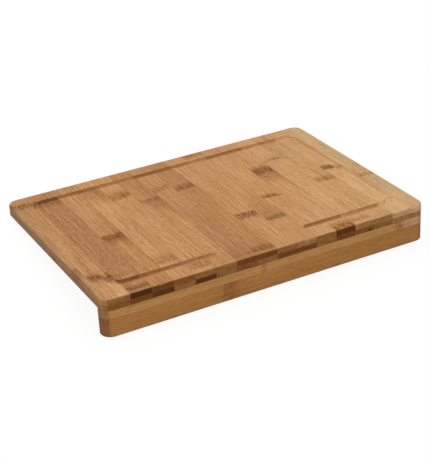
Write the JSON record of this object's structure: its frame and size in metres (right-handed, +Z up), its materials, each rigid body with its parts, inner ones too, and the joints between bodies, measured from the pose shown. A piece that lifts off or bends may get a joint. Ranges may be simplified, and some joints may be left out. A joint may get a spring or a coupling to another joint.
{
  "type": "cutting board",
  "caption": "Flat bamboo cutting board with a juice groove and a front lip that hooks over the edge of a worktop, glued up from two plies of strips.",
  "frame": {"origin": "middle of the inner corner where the slab's underside meets the lip's rear face, which is where the top edge of a worktop's front comes", "axes": "+X to the right along the lip, +Y to the back of the board, +Z up out of the cutting face"},
  "size_m": [0.4, 0.275, 0.045],
  "materials": {
    "bamboo_slab": "caramel bamboo, sanded and oiled, satin",
    "bamboo_lip": "caramel bamboo, sanded and oiled, satin",
    "dowel_wood": "plain turned wood, unfinished"
  },
  "bodies": {
    "root": {"top_left_edge_strip": "bamboo_slab", "top_strip_01": "bamboo_slab", "top_strip_02": "bamboo_slab", "top_strip_03": "bamboo_slab", "top_strip_04": "bamboo_slab", "top_strip_05": "bamboo_slab", "top_strip_06": "bamboo_slab", "top_strip_07": "bamboo_slab", "top_strip_08": "bamboo_slab", "top_strip_09": "bamboo_slab", "top_strip_10": "bamboo_slab", "top_strip_11": "bamboo_slab", "top_strip_12": "bamboo_slab", "top_strip_13": "bamboo_slab", "top_strip_14": "bamboo_slab", "top_strip_15": "bamboo_slab", "top_right_edge_strip": "bamboo_slab", "bottom_left_edge_strip": "bamboo_slab", "bottom_strip_01": "bamboo_slab", "bottom_strip_02": "bamboo_slab", "bottom_strip_03": "bamboo_slab", "bottom_strip_04": "bamboo_slab", "bottom_strip_05": "bamboo_slab", "bottom_strip_06": "bamboo_slab", "bottom_strip_07": "bamboo_slab", "bottom_strip_08": "bamboo_slab", "bottom_strip_09": "bamboo_slab", "bottom_strip_10": "bamboo_slab", "bottom_strip_11": "bamboo_slab", "bottom_strip_12": "bamboo_slab", "bottom_strip_13": "bamboo_slab", "bottom_strip_14": "bamboo_slab", "bottom_strip_15": "bamboo_slab", "bottom_right_edge_strip": "bamboo_slab", "lip_front_upper_strip": "bamboo_lip", "lip_front_lower_strip": "bamboo_lip", "lip_rear_upper_strip": "bamboo_lip", "lip_rear_lower_strip": "bamboo_lip", "lip_dowels": "dowel_wood"}
  },
  "joints": []
}
